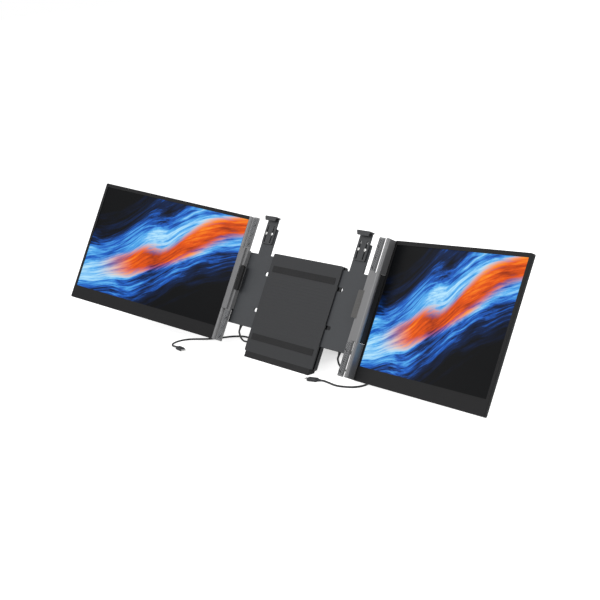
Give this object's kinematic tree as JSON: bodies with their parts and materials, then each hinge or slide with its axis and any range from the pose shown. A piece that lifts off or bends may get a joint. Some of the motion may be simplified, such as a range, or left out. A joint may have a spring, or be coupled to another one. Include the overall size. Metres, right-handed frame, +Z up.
{
  "type": "laptop screen extender",
  "caption": "Two side screens on a bracket with sliding arms and clips that grip a laptop's lid, each screen on its own folding hinge, with a kickstand behind.",
  "frame": {"origin": "on the desk, under the middle of the bracket's foot", "axes": "+X towards the right screen, as the user sees it; +Y away from the user; +Z up"},
  "size_m": [1.1879, 0.2399, 0.2875],
  "materials": {
    "arm_metal": "satin dark grey powder coat",
    "rail_metal": "fine blasted grey anodising",
    "hinge_metal": "smooth grey anodising",
    "grip_rubber": "grey rubber with rows of small dimples",
    "rubber": "matt black rubber",
    "steel": "plain bright steel",
    "bronze": "sintered bronze",
    "housing_plastic": "fine matt charcoal grain",
    "clip_plastic": "fine matt dark grey grain",
    "stand_plastic": "fine matt dark grey grain",
    "bezel_plastic": "fine matt charcoal",
    "shell_plastic": "fine matt near-black grain",
    "button_plastic": "semi-gloss dark grey",
    "lead_jacket": "matt soft dark grey jacket",
    "plug_plastic": "fine matt dark grey",
    "display_glass": "semi-gloss black screen that shows a coloured picture",
    "board": "green solder mask"
  },
  "bodies": {
    "housing": {"housing_front": "housing_plastic", "housing_rear": "housing_plastic", "lid_pads": "rubber", "housing_foot": "rubber", "housing_screws": "steel", "kickstand_pin": "steel"},
    "kickstand": {"kickstand": "stand_plastic", "kickstand_foot": "rubber"},
    "left_arm": {"left_arm_plate": "arm_metal", "left_side_rail": "rail_metal", "left_grip_strips": "grip_rubber", "left_hinge_block": "hinge_metal", "left_hinge_pin": "steel", "left_side_clip": "clip_plastic", "left_side_clip_pad": "rubber", "left_port_box": "housing_plastic", "left_usb_port": "steel", "left_arm_screws": "steel", "left_lead": "lead_jacket", "left_port_plug": "plug_plastic", "left_laptop_plug": "plug_plastic", "left_plug_tip": "steel"},
    "left_top_clip": {"left_top_clip": "clip_plastic", "left_top_clip_pad": "rubber"},
    "left_screen": {"left_front_frame": "bezel_plastic", "left_display": "display_glass", "left_rear_shell": "shell_plastic", "left_driver_board": "board", "left_hinge_leaves": "hinge_metal", "left_hinge_bushes": "bronze", "left_screen_screws": "steel", "left_screen_bumpers": "rubber"},
    "left_power_button": {"left_power_button": "button_plastic"},
    "left_menu_rocker": {"left_menu_rocker": "button_plastic"},
    "right_arm": {"right_arm_plate": "arm_metal", "right_side_rail": "rail_metal", "right_grip_strips": "grip_rubber", "right_hinge_block": "hinge_metal", "right_hinge_pin": "steel", "right_side_clip": "clip_plastic", "right_side_clip_pad": "rubber", "right_port_box": "housing_plastic", "right_usb_port": "steel", "right_arm_screws": "steel", "right_lead": "lead_jacket", "right_port_plug": "plug_plastic", "right_laptop_plug": "plug_plastic", "right_plug_tip": "steel"},
    "right_top_clip": {"right_top_clip": "clip_plastic", "right_top_clip_pad": "rubber"},
    "right_screen": {"right_front_frame": "bezel_plastic", "right_display": "display_glass", "right_rear_shell": "shell_plastic", "right_driver_board": "board", "right_hinge_leaves": "hinge_metal", "right_hinge_bushes": "bronze", "right_screen_screws": "steel", "right_screen_bumpers": "rubber"},
    "right_power_button": {"right_power_button": "button_plastic"},
    "right_menu_rocker": {"right_menu_rocker": "button_plastic"}
  },
  "joints": [
    {"name": "left_arm_slide", "type": "slide", "parent": "housing", "child": "left_arm", "axis": [-1, 0, 0], "range_m": [-0.03, 0.022]},
    {"name": "left_top_clip_slide", "type": "slide", "parent": "left_arm", "child": "left_top_clip", "axis": [0, 0.4924, 0.8704], "range_m": [-0.014, 0.016]},
    {"name": "left_screen_hinge", "type": "hinge", "parent": "left_arm", "child": "left_screen", "pos_m": [-0.207, 0.05825, 0.12327], "axis": [0, 0.4924, 0.8704], "range_deg": [-17.8, 162.2]},
    {"name": "left_power_press", "type": "slide", "parent": "left_screen", "child": "left_power_button", "axis": [0.3057, -0.8287, 0.4689], "range_m": [0, 0.0005], "stiffness_N_per_m": 900, "springref_m": -0.0004},
    {"name": "left_menu_rock", "type": "hinge", "parent": "left_screen", "child": "left_menu_rocker", "pos_m": [-0.51632, -0.07423, 0.06839], "axis": [0, 0.4924, 0.8704], "range_deg": [-4, 4], "stiffness_Nm_per_rad": 0.08},
    {"name": "right_arm_slide", "type": "slide", "parent": "housing", "child": "right_arm", "axis": [1, 0, 0], "range_m": [-0.03, 0.022]},
    {"name": "right_top_clip_slide", "type": "slide", "parent": "right_arm", "child": "right_top_clip", "axis": [0, 0.4924, 0.8704], "range_m": [-0.014, 0.016]},
    {"name": "right_screen_hinge", "type": "hinge", "parent": "right_arm", "child": "right_screen", "pos_m": [0.207, 0.05825, 0.12327], "axis": [0, -0.4924, -0.8704], "range_deg": [-10.7, 169.3]},
    {"name": "right_power_press", "type": "slide", "parent": "right_screen", "child": "right_power_button", "axis": [-0.1857, -0.8552, 0.4839], "range_m": [0, 0.0005], "stiffness_N_per_m": 900, "springref_m": -0.0004},
    {"name": "right_menu_rock", "type": "hinge", "parent": "right_screen", "child": "right_menu_rocker", "pos_m": [0.524, -0.0326, 0.04485], "axis": [0, 0.4924, 0.8704], "range_deg": [-4, 4], "stiffness_Nm_per_rad": 0.08},
    {"name": "kickstand_hinge", "type": "hinge", "parent": "housing", "child": "kickstand", "pos_m": [0, 0.07303, 0.10917], "axis": [1, 0, 0], "range_deg": [-50, 20]}
  ]
}
